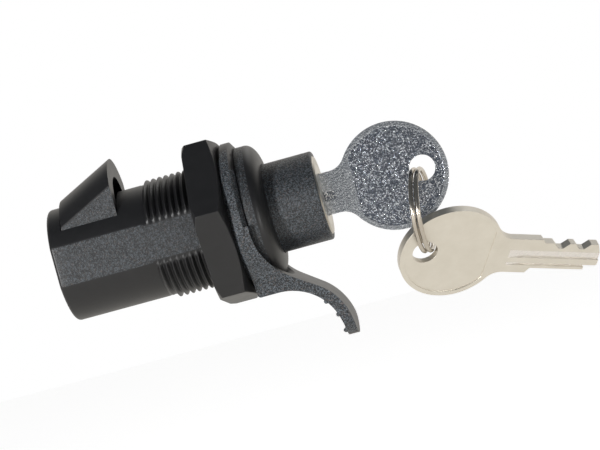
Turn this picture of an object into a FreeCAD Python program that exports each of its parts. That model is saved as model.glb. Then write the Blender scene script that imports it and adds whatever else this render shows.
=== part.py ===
import FreeCAD, Part
import math
import os
import Sketcher
from FreeCAD import Placement, Rotation, Vector

# Push-button slam latch with a key cylinder. The lock's axis is X: the button
# and key point to +X, the latch bolt rises to +Z, and the origin is the centre
# of the finger pull's rear face, which seats on the panel.

doc = FreeCAD.newDocument("CamLock")
sheet = doc.addObject("Spreadsheet::Sheet", "Sizes")
row = 0


class Size:
    """A number of the sheet, or one worked out from several, with its expression."""

    def __init__(self, text, number):
        self.text = text
        self.number = number

    def joined(self, sign, other, number):
        return Size("(" + self.text + " " + sign + " " + other.text + ")", number)

    def __add__(self, other):
        other = size(other)
        return self.joined("+", other, self.number + other.number)

    def __sub__(self, other):
        other = size(other)
        return self.joined("-", other, self.number - other.number)

    def __mul__(self, other):
        other = size(other)
        return self.joined("*", other, self.number * other.number)

    def __truediv__(self, other):
        other = size(other)
        return self.joined("/", other, self.number / other.number)

    def __neg__(self):
        return size(0) - self


def size(value):
    if isinstance(value, Size):
        return value
    return Size("(" + repr(float(value)) + ")", float(value))


def root(value):
    return Size("sqrt(" + value.text + ")", math.sqrt(value.number))


def cell(name, value):
    """Writes one driving size into the sheet and gives it back under its name."""
    global row
    row += 1
    sheet.set("A" + str(row), name)
    sheet.set("B" + str(row), str(value))
    sheet.setAlias("B" + str(row), name)
    return Size("Sizes." + name, float(value))


# Housing: threaded barrel with two flats, and the domed head at the front
barrel_length = cell("barrel_length", 42.0)
barrel_radius = cell("barrel_radius", 13.2)
barrel_wall = cell("barrel_wall", 1.5)
flat_height = cell("flat_height", 12.4)
rear_chamfer = cell("rear_chamfer", 0.6)
thread_radius = cell("thread_radius", 14.0)
thread_depth = cell("thread_depth", 0.88)
thread_pitch = cell("thread_pitch", 1.5)
thread_turns = cell("thread_turns", 13)
head_radius = cell("head_radius", 15.7)
head_rim = cell("head_rim", 2.3)
dome_depth = cell("dome_depth", 2.9)
dome_bend = cell("dome_bend", 5.4)
lip_wall = cell("lip_wall", 0.4)
bulkhead_wall = cell("bulkhead_wall", 2.1)

# Clearances
run_gap = cell("run_gap", 0.08)
fit_gap = cell("fit_gap", 0.05)
bolt_gap = cell("bolt_gap", 0.3)
axial_gap = cell("axial_gap", 0.2)

# Finger pull
pull_radius = cell("pull_radius", 17.4)
pull_thickness = cell("pull_thickness", 3.5)
pull_bevel_width = cell("pull_bevel_width", 1.45)
pull_bevel_depth = cell("pull_bevel_depth", 0.9)
pull_rear_chamfer = cell("pull_rear_chamfer", 0.75)
pull_drop = cell("pull_drop", 32.6)
pull_reach = cell("pull_reach", 20.3)
pull_root_drop = cell("pull_root_drop", 18.7)
pull_root_reach = cell("pull_root_reach", 5.5)
pull_tip_wall = cell("pull_tip_wall", 2.4)
pull_tip_radius = cell("pull_tip_radius", 8.0)
pull_tip_width = cell("pull_tip_width", 14.4)
pull_root_width = cell("pull_root_width", 25.2)
pull_neck_bend = cell("pull_neck_bend", 19.0)
visor_start = cell("visor_start", 4.0)
visor_bend = cell("visor_bend", 15.0)
visor_turn = 55
rib_radius = cell("rib_radius", 0.55)
rib_count = 3
rib_first_angle = 52
rib_step_angle = 19
rib_half_share = 0.35
tip_bend_share = 0.56

# Hex nut
nut_across = cell("nut_across", 36.0)
nut_height = cell("nut_height", 7.6)
nut_face_radius = cell("nut_face_radius", 17.3)
nut_rear_chamfer = cell("nut_rear_chamfer", 1.0)
nut_face_slope = 0.4
nut_rear_radius = cell("nut_rear_radius", 19.4)
nut_turn = cell("nut_turn", 51.7)
nut_gap = cell("nut_gap", 0.1)

# Push button and its carrier
button_radius = cell("button_radius", 10.45)
button_front = cell("button_front", 20.4)
button_round = cell("button_round", 0.5)
button_travel = cell("button_travel", 7.9)
carrier_wall = cell("carrier_wall", 1.4)
carrier_rear = cell("carrier_rear", 9.2)
carrier_floor = cell("carrier_floor", 1.9)
tongue_width = cell("tongue_width", 10.0)
tongue_bottom = cell("tongue_bottom", 0.8)
tongue_top = cell("tongue_top", 2.7)
tongue_tip = cell("tongue_tip", 28.9)
tongue_slope = cell("tongue_slope", 2.8)
pin_radius = cell("pin_radius", 0.8)
carrier_pin_depth = cell("carrier_pin_depth", 6.5)
shell_pin_place = cell("shell_pin_place", 1.0)
stop_pin_radius = cell("stop_pin_radius", 1.0)
stop_pin_depth = cell("stop_pin_depth", 4.0)

# Key cylinder
shell_radius = cell("shell_radius", 9.3)
shell_front = cell("shell_front", 20.7)
shell_rear = cell("shell_rear", 1.0)
shell_chamfer = cell("shell_chamfer", 0.4)
wafer_groove = cell("wafer_groove", 7.9)
plug_radius = cell("plug_radius", 6.3)
plug_head_radius = cell("plug_head_radius", 7.3)
plug_head = cell("plug_head", 2.6)
tail_radius = cell("tail_radius", 4.2)
tail_square = cell("tail_square", 5.6)
clip_radius = cell("clip_radius", 6.9)
clip_inner = cell("clip_inner", 3.5)
clip_thickness = cell("clip_thickness", 0.8)
clip_mouth = cell("clip_mouth", 5.0)
cam_radius = cell("cam_radius", 6.0)
cam_thickness = cell("cam_thickness", 2.2)
cam_front = cell("cam_front", 2.7)
lug_reach = cell("lug_reach", 11.6)
lug_width = cell("lug_width", 3.4)
lug_angle = cell("lug_angle", -45)
lug_pocket_radius = cell("lug_pocket_radius", 11.9)
screw_radius = cell("screw_radius", 1.5)
screw_head_radius = cell("screw_head_radius", 2.7)
screw_slot_share = 0.62
screw_head = cell("screw_head", 1.6)
screw_length = cell("screw_length", 3.4)
wafer_thickness = cell("wafer_thickness", 1.3)
wafer_pitch = cell("wafer_pitch", 2.7)
wafer_first = cell("wafer_first", 13.4)
wafer_width = cell("wafer_width", 5.8)
wafer_ear = cell("wafer_ear", 4.7)
wafer_ear_top = cell("wafer_ear_top", 0.9)
ear_depth = cell("ear_depth", 1.1)
wafer_wire = cell("wafer_wire", 0.11)
wafer_spring_radius = cell("wafer_spring_radius", 0.5)
wafer_spring_foot = cell("wafer_spring_foot", 4.5)

# Latch bolt
bolt_width = cell("bolt_width", 20.4)
bolt_rear = cell("bolt_rear", 38.5)
bolt_front = cell("bolt_front", 25.2)
bolt_low_edge = cell("bolt_low_edge", 14.7)
bolt_high_edge = cell("bolt_high_edge", 21.1)
bolt_arch = cell("bolt_arch", 11.4)
bolt_top_wall = cell("bolt_top_wall", 4.3)
bolt_side_wall = cell("bolt_side_wall", 3.2)
bolt_rear_wall = cell("bolt_rear_wall", 1.5)
bolt_foot_gap = cell("bolt_foot_gap", 0.4)
spring_seat_radius = cell("spring_seat_radius", 3.2)
spring_seat_cover = cell("spring_seat_cover", 1.5)
spring_seat_place = cell("spring_seat_place", 34.0)

# Springs
bolt_spring_radius = cell("bolt_spring_radius", 2.4)
bolt_spring_wire = cell("bolt_spring_wire", 0.35)
bolt_spring_turns = cell("bolt_spring_turns", 7)
return_spring_radius = cell("return_spring_radius", 9.4)
return_spring_wire = cell("return_spring_wire", 0.6)
return_spring_turns = cell("return_spring_turns", 5)

# Keys
bow_radius = cell("bow_radius", 12.5)
neck_width = cell("neck_width", 9.8)
neck_bend = cell("neck_bend", 4.5)
key_thickness = cell("key_thickness", 2.0)
key_gap = cell("key_gap", 0.15)
shoulder_reach = cell("shoulder_reach", 20.6)
key_reach = cell("key_reach", 37.5)
blade_low = cell("blade_low", 3.5)
blade_high = cell("blade_high", 4.0)
blade_bevel = cell("blade_bevel", 0.9)
shoulder_step = cell("shoulder_step", 1.0)
cut_depth = cell("cut_depth", 1.45)
cut_first = cell("cut_first", 26.8)
cut_pitch = cell("cut_pitch", 5.4)
cut_floor = cell("cut_floor", 0.6)
strip_width = cell("strip_width", 0.9)
strip_end = cell("strip_end", 3.2)
hole_radius = cell("hole_radius", 3.0)
hole_offset = cell("hole_offset", 6.6)
field_rim = cell("field_rim", 1.1)
field_depth = cell("field_depth", 0.22)
field_end = cell("field_end", 9.3)
mill_depth = cell("mill_depth", 0.45)
mill_start = cell("mill_start", 14.2)
mill_high = cell("mill_high", 0.55)
mill_high_width = cell("mill_high_width", 2.1)
mill_low = cell("mill_low", 2.35)
mill_low_width = cell("mill_low_width", 0.7)
key_bow_place = cell("key_bow_place", 37.5)

# Key ring and the second key that hangs on it
ring_radius = cell("ring_radius", 9.4)
ring_wire = cell("ring_wire", 0.6)
ring_pitch = cell("ring_pitch", 1.3)
ring_sweep = cell("ring_sweep", 330)
ring_hook = cell("ring_hook", 1.4)
ring_lean = cell("ring_lean", 7.0)
ring_tilt = cell("ring_tilt", 7.6)
second_hook = cell("second_hook", 1.0)
second_heading = cell("second_heading", 25.8)
second_droop = cell("second_droop", 16.8)
second_roll = cell("second_roll", -42.5)

doc.recompute()

along_x = Rotation(Vector(1, 1, 1), 120)
along_y = Rotation(Vector(1, 0, 0), -90)


def bind(item, prop, value):
    item.setExpression(prop, size(value).text)


def place(item, across=0, along=0, up=0):
    bind(item, "Placement.Base.x", across)
    bind(item, "Placement.Base.y", along)
    bind(item, "Placement.Base.z", up)
    return item


def cylinder(name, radius, height, turn):
    item = doc.addObject("Part::Cylinder", name)
    item.Placement = Placement(Vector(0, 0, 0), turn)
    bind(item, "Radius", radius)
    bind(item, "Height", height)
    return item


def rod(name, radius, start, end, along=0, up=0):
    """A cylinder along X from start to end."""
    item = cylinder(name, radius, size(end) - start, along_x)
    return place(item, start, along, up)


def pin(name, radius, start, end, across, up=0):
    """A cylinder along Y from start to end."""
    item = cylinder(name, radius, size(end) - start, along_y)
    return place(item, across, start, up)


def post(name, radius, bottom, top, across, along=0):
    """A cylinder along Z from bottom to top."""
    item = cylinder(name, radius, size(top) - bottom, Rotation())
    return place(item, across, along, bottom)


def block(name, across, along, up):
    """A box given as its limits along X, Y and Z."""
    item = doc.addObject("Part::Box", name)
    bind(item, "Length", size(across[1]) - across[0])
    bind(item, "Width", size(along[1]) - along[0])
    bind(item, "Height", size(up[1]) - up[0])
    return place(item, across[0], along[0], up[0])


def fuse(name, *items):
    item = doc.addObject("Part::MultiFuse", name)
    item.Shapes = list(items)
    return item


def cut(name, base, *tools):
    item = doc.addObject("Part::Cut", name)
    item.Base = base
    item.Tool = tools[0] if len(tools) == 1 else fuse(name + "_tools", *tools)
    return item


def common(name, *items):
    item = doc.addObject("Part::MultiCommon", name)
    item.Shapes = list(items)
    return item


def group(name, *items):
    item = doc.addObject("Part::Compound", name)
    item.Links = list(items)
    return item


def turn_on_axis(item, angle):
    item.Placement = Placement(Vector(0, 0, 0), Rotation(Vector(1, 0, 0), 0))
    bind(item, "Placement.Rotation.Angle", angle)
    return item


def arc_between(start, end, radius, turn, large):
    """The arc from start to end that turns left (1) or right (-1)."""
    chord = end - start
    half = chord.Length / 2
    rise = math.sqrt(max(radius * radius - half * half, 0))
    left = Vector(-chord.y, chord.x, 0).normalize()
    centre = (start + end) / 2 + left * rise * turn * (-1 if large else 1)
    first, last = (start, end) if turn > 0 else (end, start)
    begin = math.atan2(first.y - centre.y, first.x - centre.x)
    stop = math.atan2(last.y - centre.y, last.x - centre.x)
    if stop <= begin:
        stop += 2 * math.pi
    circle = Part.Circle(centre, Vector(0, 0, 1), radius)
    return Part.ArcOfCircle(circle, begin, stop)


def outline(body, name, role, steps):
    """A closed sketch on one of the body's planes. A step is a point, and the
    arc that leads to it where it has a radius, a turn and a large flag."""
    sketch = body.newObject("Sketcher::SketchObject", name)
    plane = [item for item in body.Origin.OriginFeatures if item.Role == role][0]
    sketch.AttachmentSupport = [(plane, "")]
    sketch.MapMode = "FlatFace"
    points = [Vector(size(step[0]).number, size(step[1]).number, 0) for step in steps]
    count = len(steps)
    heads = []
    for n in range(count):
        start = points[n]
        end = points[(n + 1) % count]
        bend = steps[(n + 1) % count][2:]
        if bend:
            sketch.addGeometry(arc_between(start, end, size(bend[0]).number, *bend[1:]), False)
            heads.append((1, 2) if bend[1] > 0 else (2, 1))
        else:
            sketch.addGeometry(Part.LineSegment(start, end), False)
            heads.append((1, 2))
    for n in range(count):
        after = (n + 1) % count
        sketch.addConstraint(
            Sketcher.Constraint("Coincident", n, heads[n][1], after, heads[after][0])
        )
    for n in range(count):
        fix(sketch, "DistanceX", n, heads[n][0], steps[n][0], "across" + str(n))
        fix(sketch, "DistanceY", n, heads[n][0], steps[n][1], "up" + str(n))
        bend = steps[(n + 1) % count][2:]
        if bend:
            radius = size(bend[0])
            number = sketch.addConstraint(Sketcher.Constraint("Radius", n, radius.number))
            sketch.renameConstraint(number, "bend" + str(n))
            sketch.setExpression("Constraints.bend" + str(n), radius.text)
    return sketch


def fix(sketch, kind, edge, end, value, name):
    value = size(value)
    number = sketch.addConstraint(
        Sketcher.Constraint(kind, -1, 1, edge, end, value.number)
    )
    sketch.renameConstraint(number, name)
    sketch.setExpression("Constraints." + name, value.text)


def turned(name, steps):
    """A body turned about X from an outline of points (X, radius)."""
    body = doc.addObject("PartDesign::Body", name)
    sketch = outline(body, name + "_outline", "XZ_Plane", steps)
    turning = body.newObject("PartDesign::Revolution", name + "_turning")
    turning.Profile = sketch
    turning.ReferenceAxis = (sketch, ["H_Axis"])
    turning.Angle = 360
    body.Tip = turning
    return body


def plate(name, role, steps, thickness):
    """A body padded to both sides of one of its planes."""
    body = doc.addObject("PartDesign::Body", name)
    sketch = outline(body, name + "_outline", role, steps)
    pad = body.newObject("PartDesign::Pad", name + "_pad")
    pad.Profile = sketch
    pad.Midplane = True
    bind(pad, "Length", thickness)
    body.Tip = pad
    return body


def spring(name, radius, wire, turns, start, end, turn, across=0, along=0, up=0):
    """A coil of round wire whose wire lies between start and end on its axis."""
    clear = wire * 1.3
    height = size(end) - start - clear * 2
    helix = doc.addObject("Part::Helix", name + "_path")
    bind(helix, "Radius", radius)
    bind(helix, "Height", height)
    bind(helix, "Pitch", height / turns)
    circle = doc.addObject("Part::Circle", name + "_wire")
    circle.Placement = Placement(Vector(0, 0, 0), Rotation(Vector(1, 0, 0), 90))
    bind(circle, "Radius", wire)
    bind(circle, "Placement.Base.x", radius)
    sweep = doc.addObject("Part::Sweep", name + "_coil")
    sweep.Sections = [circle]
    sweep.Spine = (helix, [])
    sweep.Solid = True
    sweep.Frenet = True
    sweep.Placement = Placement(Vector(0, 0, 0), turn)
    return sweep, clear


# ---- Housing ----
bore_radius = button_radius + run_gap
chamber_front = -bolt_front + axial_gap
chamber_rear = -bolt_rear - axial_gap
bulkhead_front = chamber_front + bulkhead_wall
head_front = pull_thickness + head_rim + dome_depth
thread_root = thread_radius - thread_depth
thread_end = -thread_pitch * thread_turns
chamber_radius = barrel_radius - barrel_wall
slot_half = bolt_width / 2 + bolt_gap


def build_housing():
    rear = -barrel_length
    rim_front = pull_thickness + head_rim
    body = turned("barrel_blank", [
        (rear, 0),
        (bulkhead_front, 0),
        (bulkhead_front, bore_radius),
        (head_front, bore_radius),
        (head_front, bore_radius + lip_wall),
        (rim_front, head_radius, dome_bend, 1, False),
        (pull_thickness, head_radius),
        (pull_thickness, thread_radius),
        (thread_end, thread_radius),
        (thread_end - (thread_radius - barrel_radius), barrel_radius),
        (rear + rear_chamfer, barrel_radius),
        (rear, barrel_radius - rear_chamfer),
    ])
    half = thread_pitch / 2 - 0.08
    middle = thread_end + thread_pitch / 2
    groove_sketch = outline(body, "thread_outline", "XZ_Plane", [
        (middle - half, thread_radius + fit_gap),
        (middle, thread_root),
        (middle + half, thread_radius + fit_gap),
    ])
    groove = body.newObject("PartDesign::Groove", "thread_groove")
    groove.Profile = groove_sketch
    groove.ReferenceAxis = (groove_sketch, ["H_Axis"])
    groove.Angle = 360
    pattern = body.newObject("PartDesign::LinearPattern", "thread_pattern")
    pattern.Originals = [groove]
    pattern.Direction = (groove_sketch, ["H_Axis"])
    bind(pattern, "Length", thread_pitch * (thread_turns - 1))
    bind(pattern, "Occurrences", thread_turns)
    body.Tip = pattern

    wide = thread_radius + 2
    near_flat = block("near_flat", (rear - 1, pull_thickness), (-wide, -flat_height), (-wide, wide))
    far_flat = block("far_flat", (rear - 1, pull_thickness), (flat_height, wide), (-wide, wide))
    span = (chamber_rear, chamber_front)
    chamber_round = rod("chamber_round", chamber_radius, chamber_rear, chamber_front)
    chamber_sides = block("chamber_sides", span, (-slot_half, slot_half), (-wide, wide))
    chamber = common("bolt_chamber", chamber_round, chamber_sides)
    slot = block("bolt_slot", span, (-slot_half, slot_half), (0, wide))
    window_side = tongue_width / 2 + bolt_gap
    window = block(
        "tongue_window",
        (chamber_front - 1, bulkhead_front + 1),
        (-window_side, window_side),
        (-tongue_bottom - bolt_gap, tongue_top + bolt_gap),
    )
    seat = post(
        "bolt_spring_seat", spring_seat_radius, -chamber_radius - fit_gap * 3, 0, -spring_seat_place
    )
    lug_front = -cam_front + axial_gap
    lug_rear = -cam_front - cam_thickness - axial_gap
    sweep_round = rod("lug_sweep_round", lug_pocket_radius, lug_rear, lug_front)
    sweep_low = block("lug_sweep_low", (lug_rear, lug_front), (-wide, wide), (-wide, -lug_reach / 2))
    lug_sweep = common("lug_sweep", sweep_round, sweep_low)
    groove_round = rod("lug_groove_round", lug_pocket_radius, lug_rear - button_travel, lug_front)
    groove_half = lug_width / 2 + bolt_gap
    groove_bar = block(
        "lug_groove_bar",
        (lug_rear - button_travel, lug_front),
        (0, wide),
        (-groove_half, groove_half),
    )
    lug_groove = turn_on_axis(common("lug_groove", groove_round, groove_bar), lug_angle)
    pin_hole = post(
        "stop_pin_hole", stop_pin_radius + fit_gap / 2, bore_radius - 2, wide, -stop_pin_depth
    )
    return cut(
        "housing", body, near_flat, far_flat, chamber, slot, window, seat, lug_sweep, lug_groove,
        pin_hole,
    )


# ---- Finger pull ----
def build_finger_pull():
    seat_radius = thread_radius + run_gap * 2
    bevel = pull_thickness - pull_bevel_depth
    ring_blank = turned("pull_ring_blank", [
        (0, seat_radius - 2),
        (0, pull_radius - pull_rear_chamfer),
        (pull_rear_chamfer, pull_radius),
        (bevel, pull_radius),
        (pull_thickness, pull_radius - pull_bevel_width),
        (pull_thickness, seat_radius - 2),
    ])
    turn = math.radians(visor_turn)
    visor_front = pull_thickness + 0.2
    low = -visor_start - visor_bend * math.sin(turn)
    out = visor_front + visor_bend * (1 - math.cos(turn))
    tip_bend = (pull_reach - out) / (1 - math.cos(turn)) * tip_bend_share
    shoulder = pull_reach - tip_bend * (1 - math.cos(turn))
    fall = (shoulder - out) / math.tan(turn)
    rear_bend = pull_reach - pull_tip_wall - pull_root_reach
    side = plate("pull_side", "XZ_Plane", [
        (pull_rear_chamfer, -visor_start / 2),
        (pull_rear_chamfer, -pull_root_drop + 0.4),
        (pull_rear_chamfer + 0.4, -pull_root_drop),
        (pull_root_reach, -pull_root_drop),
        (pull_root_reach + rear_bend, -pull_root_drop - rear_bend, rear_bend, -1, False),
        (pull_root_reach + rear_bend, -pull_drop),
        (pull_reach, -pull_drop),
        (pull_reach, low - fall - tip_bend * math.sin(turn)),
        (shoulder, low - fall, tip_bend, 1, False),
        (out, low),
        (visor_front, -visor_start, visor_bend, -1, False),
        (visor_front, -visor_start / 2),
    ], pull_radius * 2 + 4)
    root_half = pull_root_width / 2
    disc = pull_radius - fit_gap
    root_low = -root(disc * disc - root_half * root_half)
    tip_half = pull_tip_width / 2
    tip_rise = root(pull_tip_radius * pull_tip_radius - tip_half * tip_half)
    tip_low = -pull_drop + pull_tip_radius - tip_rise
    front = plate("pull_front", "YZ_Plane", [
        (-root_half, root_low, disc, 1, True),
        (-tip_half, tip_low, pull_neck_bend, -1, False),
        (tip_half, tip_low, pull_tip_radius, 1, False),
        (root_half, root_low, pull_neck_bend, -1, False),
    ], (pull_reach + 1) * 2)
    tongue = common("pull_tongue", side, front)
    ribs = []
    rib_half = pull_tip_width * rib_half_share
    for n in range(rib_count):
        angle = math.radians(rib_first_angle + rib_step_angle * n)
        across = pull_root_reach + (rear_bend - rib_radius * 0.3) * math.sin(angle)
        up = -pull_root_drop - rear_bend + (rear_bend - rib_radius * 0.3) * math.cos(angle)
        ribs.append(pin("pull_rib_" + str(n + 1), rib_radius, -rib_half, rib_half, across, up))
    grip = common("pull_grip", fuse("pull_ribs", *ribs), front)
    whole = fuse("pull_whole", ring_blank, tongue, grip)
    seat_round = rod("pull_seat_round", seat_radius, -1, pull_thickness)
    seat_half = flat_height + run_gap * 2
    seat_flats = block(
        "pull_seat_flats", (-1, pull_thickness), (-seat_half, seat_half), (-pull_radius, pull_radius)
    )
    seat = common("pull_seat", seat_round, seat_flats)
    dome_room = rod("pull_dome_room", head_radius + fit_gap * 2, pull_thickness, pull_reach + 5)
    return cut("finger_pull", whole, seat, dome_room)


# ---- Hex nut ----
def build_hex_nut():
    prism = doc.addObject("Part::Prism", "nut_prism")
    prism.Polygon = 6
    bind(prism, "Circumradius", nut_across / 2 / math.cos(math.radians(30)))
    bind(prism, "Height", nut_height)
    prism.Placement = Placement(
        Vector(0, 0, 0), Rotation(Vector(1, 0, 0), nut_turn.number) * along_x
    )
    bind(prism, "Placement.Base.x", -nut_height)
    corner = nut_across / 2 / math.cos(math.radians(30)) + 0.01
    slope = (corner - nut_face_radius) * nut_face_slope
    envelope = turned("nut_envelope", [
        (-nut_height, thread_radius + nut_gap),
        (0, thread_radius + nut_gap),
        (0, nut_face_radius),
        (-slope, corner),
        (-nut_height + nut_rear_chamfer, corner),
        (-nut_height, nut_rear_radius),
    ])
    return common("hex_nut", prism, envelope)


# ---- Push button, carrier and pins ----
def build_push_button():
    inner = shell_radius + fit_gap
    tube = turned("button_tube", [
        (-carrier_rear, inner),
        (button_front, inner),
        (button_front, button_radius - button_round),
        (button_front - button_round, button_radius, button_round, 1, False),
        (-carrier_rear, button_radius),
    ])
    wide = button_radius + 1
    lug_front = -cam_front + axial_gap
    notch = block("button_notch", (-carrier_rear - 1, lug_front), (-wide, wide), (-wide, -lug_reach / 3))
    slot_half_width = stop_pin_radius + fit_gap * 2
    slot_start = -stop_pin_depth - slot_half_width
    slot_end = -stop_pin_depth + button_travel + slot_half_width
    slot = block(
        "stop_slot", (slot_start, slot_end), (-slot_half_width, slot_half_width), (inner - 2, wide)
    )
    hole = pin_radius + fit_gap / 2
    shell_hole = pin("button_shell_hole", hole, -wide, wide, shell_pin_place)
    carrier_hole = pin("button_carrier_hole", hole, -wide, wide, -carrier_pin_depth)
    return cut("push_button", tube, notch, slot, shell_hole, carrier_hole)


def build_carrier():
    inner = shell_radius - carrier_wall
    floor = -carrier_rear + carrier_floor
    cup = turned("carrier_cup", [
        (-carrier_rear, 0),
        (floor, 0),
        (floor, inner),
        (-shell_rear, inner),
        (-shell_rear, shell_radius),
        (-carrier_rear, shell_radius),
    ])
    tongue = plate("carrier_tongue", "XZ_Plane", [
        (-carrier_rear + 0.5, -tongue_bottom),
        (-carrier_rear + 0.5, tongue_top),
        (-tongue_tip, tongue_top),
        (-tongue_tip, tongue_slope - tongue_bottom),
        (-tongue_tip + tongue_slope, -tongue_bottom),
    ], tongue_width)
    wide = shell_radius + 1
    rear = -cam_front - cam_thickness - axial_gap
    notch = block("carrier_notch", (rear, 0), (-wide, wide), (-wide, -lug_reach / 3))
    hole = pin("carrier_hole", pin_radius + fit_gap / 2, -wide, wide, -carrier_pin_depth)
    return cut("carrier", fuse("carrier_whole", cup, tongue), notch, hole)


def build_pins():
    outer = button_radius - fit_gap
    inner = shell_radius - carrier_wall
    far = pin("carrier_pin_far", pin_radius, inner, outer, -carrier_pin_depth)
    near = pin("carrier_pin_near", pin_radius, -outer, -inner, -carrier_pin_depth)
    shell_far = pin("shell_pin_far", pin_radius, inner, outer, shell_pin_place)
    shell_near = pin("shell_pin_near", pin_radius, -outer, -inner, shell_pin_place)
    stop = post(
        "stop_pin", stop_pin_radius, shell_radius + fit_gap * 3, thread_root - fit_gap * 4,
        -stop_pin_depth,
    )
    return group("carrier_pins", far, near), group("shell_pins", shell_far, shell_near), stop


# ---- Key cylinder ----
wafer_names = ["wafer_" + str(n + 1) for n in range(5)]
tail_end = -cam_front - cam_thickness + 0.1
blade_room_low = -blade_low - key_gap
blade_room_high = blade_high + key_gap
keyway_half = key_thickness / 2 + key_gap / 2


def wafer_place(n):
    return wafer_first - wafer_pitch * n


def build_shell():
    bore = plug_radius + fit_gap
    step = shell_front - plug_head
    blank = turned("shell_blank", [
        (-shell_rear, bore),
        (step, bore),
        (step, plug_head_radius + fit_gap),
        (shell_front, plug_head_radius + fit_gap),
        (shell_front, shell_radius - shell_chamfer),
        (shell_front - shell_chamfer, shell_radius),
        (-shell_rear, shell_radius),
    ])
    half = wafer_width / 2 + key_gap
    rear = wafer_place(4) - wafer_thickness
    front = wafer_place(0) + wafer_thickness
    upright = block("wafer_groove_upright", (rear, front), (-half, half), (-wafer_groove, wafer_groove))
    level = block("wafer_groove_level", (rear, front), (-wafer_groove, wafer_groove), (-half, half))
    hole = pin_radius + fit_gap / 2
    inner = shell_radius - carrier_wall
    far_hole = pin("shell_hole_far", hole, inner, shell_radius + 1, shell_pin_place)
    near_hole = pin("shell_hole_near", hole, -shell_radius - 1, -inner, shell_pin_place)
    return cut("cylinder_shell", blank, upright, level, far_hole, near_hole)


def build_plug():
    step = shell_front - plug_head + fit_gap / 2
    clip_front = -shell_rear - fit_gap
    clip_rear = clip_front - clip_thickness - fit_gap
    blank = turned("plug_blank", [
        (tail_end, 0),
        (shell_front, 0),
        (shell_front, plug_head_radius),
        (step, plug_head_radius),
        (step, plug_radius),
        (-shell_rear, plug_radius),
        (clip_front, tail_radius),
        (clip_front, clip_inner - fit_gap),
        (clip_rear, clip_inner - fit_gap),
        (clip_rear, tail_radius),
        (tail_end, tail_radius),
    ])
    key_stop = key_bow_place - shoulder_reach - shoulder_step - neck_width / 2 + blade_high - key_gap
    keyway = block(
        "keyway", (-0.5, shell_front + 1), (-keyway_half, keyway_half), (blade_room_low, blade_room_high)
    )
    neck_half = neck_width / 2 + key_gap
    mouth = block(
        "keyway_mouth", (key_stop, shell_front + 1), (-keyway_half, keyway_half),
        (-neck_half, neck_half),
    )
    tools = [keyway, mouth]
    half = wafer_width / 2 + fit_gap
    for n in range(5):
        thick = wafer_thickness / 2 + fit_gap
        span = (wafer_place(n) - thick, wafer_place(n) + thick)
        wide = plug_radius + 1
        tools.append(block("wafer_slot_" + str(n + 1), span, (-half, half), (-wide, wide)))
        tools.append(block(
            "ear_slot_" + str(n + 1), span, (0, wafer_ear + fit_gap),
            (-wafer_spring_foot - fit_gap, wafer_ear_top + cut_depth),
        ))
    square = tail_square / 2
    cam_face = -cam_front + fit_gap
    wide = tail_radius + 1
    tools.append(block("tail_far", (tail_end - 1, cam_face), (square, wide), (-wide, wide)))
    tools.append(block("tail_near", (tail_end - 1, cam_face), (-wide, -square), (-wide, wide)))
    tools.append(block("tail_high", (tail_end - 1, cam_face), (-wide, wide), (square, wide)))
    tools.append(block("tail_low", (tail_end - 1, cam_face), (-wide, wide), (-wide, -square)))
    tools.append(rod("tail_thread", screw_radius + fit_gap / 2, tail_end - 1, tail_end + screw_length))
    return cut("lock_plug", blank, *tools)


def build_wafers():
    wafers = []
    for n in range(5):
        number = str(n + 1)
        thick = wafer_thickness / 2
        span = (wafer_place(n) - thick, wafer_place(n) + thick)
        half = wafer_width / 2
        wide = plug_radius + 1
        bar = block("wafer_bar_" + number, span, (-half, half), (-wide, wide))
        round_end = rod("wafer_round_" + number, plug_radius - fit_gap, *span)
        leaf = common("wafer_leaf_" + number, bar, round_end)
        ear = block(
            "wafer_lug_" + number, span, (half - 0.5, wafer_ear),
            (wafer_ear_top - ear_depth, wafer_ear_top),
        )
        window_low = blade_room_low - fit_gap
        window_high = blade_room_high + fit_gap
        window = block(
            "wafer_window_" + number, (span[0] - 1, span[1] + 1),
            (-keyway_half - fit_gap, keyway_half + fit_gap), (window_low, window_high),
        )
        wafers.append(cut(wafer_names[n], fuse("wafer_piece_" + number, leaf, ear), window))
    return wafers


def build_wafer_springs():
    along = (wafer_ear + wafer_width / 2) / 2
    foot = -wafer_spring_foot
    head = wafer_ear_top - ear_depth
    coils = []
    for n in range(5):
        coil, clear = spring(
            "wafer_spring_" + str(n + 1), wafer_spring_radius, wafer_wire, 6, foot, head, Rotation()
        )
        coils.append(place(coil, wafer_place(n), along, foot + clear))
    return group("wafer_springs", *coils)


def build_clip():
    front = -shell_rear - fit_gap - fit_gap / 2
    rear = front - clip_thickness
    disc = rod("clip_disc", clip_radius, rear, front)
    hole = rod("clip_hole", clip_inner, rear - 1, front + 1)
    mouth_half = clip_mouth / 2
    mouth = block("clip_opening", (rear - 1, front + 1), (-mouth_half, mouth_half), (0, clip_radius + 1))
    return cut("plug_clip", disc, hole, mouth)


def build_cam():
    rear = -cam_front - cam_thickness
    disc = rod("cam_disc", cam_radius, rear, -cam_front)
    lug_half = lug_width / 2
    bar = block("cam_bar", (rear, -cam_front), (0, lug_reach), (-lug_half, lug_half))
    tip = rod("cam_tip", lug_reach, rear, -cam_front)
    lug = turn_on_axis(common("cam_lug", bar, tip), lug_angle)
    square = tail_square / 2 + fit_gap / 2
    hole = block("cam_square", (rear - 1, 0), (-square, square), (-square, square))
    return cut("lock_cam", fuse("cam_whole", disc, lug), hole)


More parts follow.
